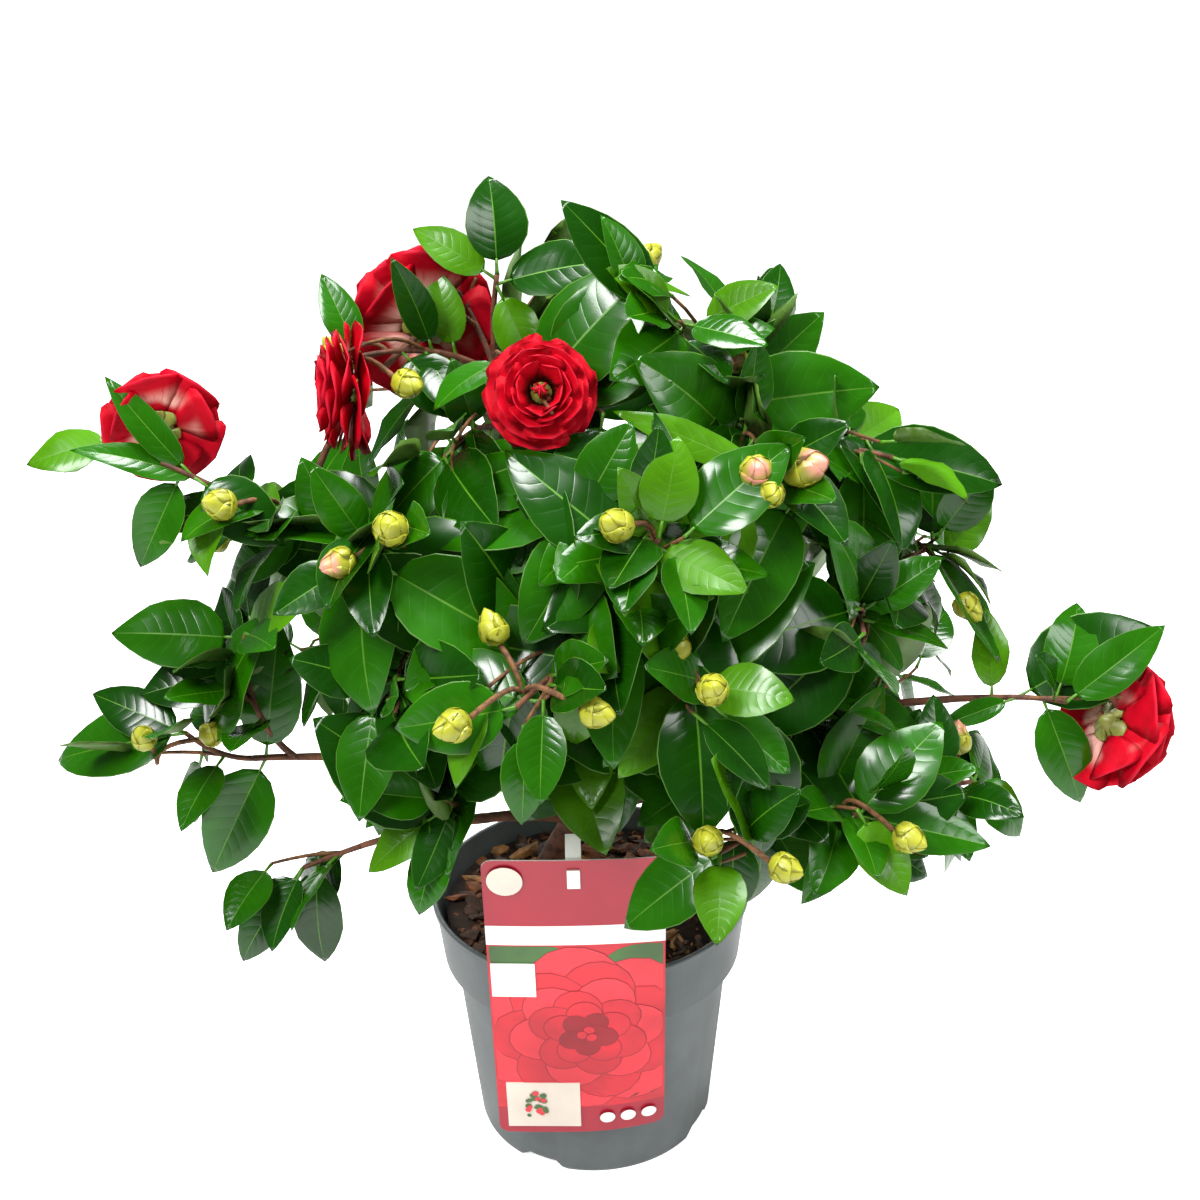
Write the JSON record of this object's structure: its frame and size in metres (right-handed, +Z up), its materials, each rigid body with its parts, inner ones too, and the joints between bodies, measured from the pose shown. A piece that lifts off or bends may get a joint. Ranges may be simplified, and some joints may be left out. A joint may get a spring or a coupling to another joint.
{
  "type": "potted camellia shrub",
  "caption": "Camellia shrub in a plain nursery pot: a low leaning trunk, spreading tapered boughs, uneven masses of glossy foliage with double blooms, and a blank label card.",
  "frame": {"origin": "centre of the pot's flat underside, where the pot stands", "axes": "+Z up along the pot's axis, -Y towards the label card's front, +X to the right seen from that front"},
  "size_m": [0.6124, 0.4255, 0.5674],
  "materials": {
    "pot_plastic": "satin slate-grey moulded plastic",
    "compost": "rough damp bark compost",
    "label_card": "printed coated card, semi-gloss",
    "label_strip": "plain white plastic strip",
    "bark": "reddish-brown woody stem, matt",
    "foliage": "glossy leathery evergreen leaves"
  },
  "bodies": {
    "root": {"pot": "pot_plastic", "compost": "compost", "label_card": "label_card", "label_strip": "label_strip", "trunk": "bark", "bough_to_top_left_back": "bark", "bough_to_top_right": "bark", "bough_to_shoulder_left": "bark", "bough_to_shoulder_front": "bark", "bough_to_waist_right": "bark", "bough_to_waist_back_right": "bark", "bough_to_waist_left_back": "bark", "bough_to_right_arm": "bark", "bough_to_skirt_front_left": "bark", "bough_to_skirt_back_right": "bark", "bough_to_left_arm": "bark", "bough_to_skirt_right_front": "bark", "bough_to_left_low": "bark", "bough_to_skirt_back_left": "bark", "foliage_skirt_front_left": "foliage", "foliage_skirt_front_right": "foliage", "foliage_skirt_right_front": "foliage", "foliage_skirt_right": "foliage", "foliage_skirt_right_back": "foliage", "foliage_skirt_back_right": "foliage", "foliage_skirt_back_left": "foliage", "foliage_skirt_left_back": "foliage", "foliage_waist_right": "foliage", "foliage_waist_right_back": "foliage", "foliage_waist_back_right": "foliage", "foliage_waist_back_left": "foliage", "foliage_waist_left_back": "foliage", "foliage_waist_left": "foliage", "foliage_waist_left_front": "foliage", "foliage_waist_front_left": "foliage", "foliage_waist_front_right": "foliage", "foliage_waist_right_front": "foliage", "foliage_shoulder_right": "foliage", "foliage_shoulder_right_front": "foliage", "foliage_shoulder_front": "foliage", "foliage_shoulder_left_front": "foliage", "foliage_shoulder_left": "foliage", "foliage_shoulder_left_back": "foliage", "foliage_shoulder_back": "foliage", "foliage_shoulder_right_back": "foliage", "foliage_top_left": "foliage", "foliage_top_left_back": "foliage", "foliage_top_front": "foliage", "foliage_top_right_front": "foliage", "foliage_top_right": "foliage", "foliage_top_back": "foliage", "foliage_left_arm": "foliage", "foliage_left_low": "foliage", "foliage_left_bloom": "foliage", "foliage_crown_tip": "foliage", "foliage_right_arm": "foliage"}
  },
  "joints": []
}
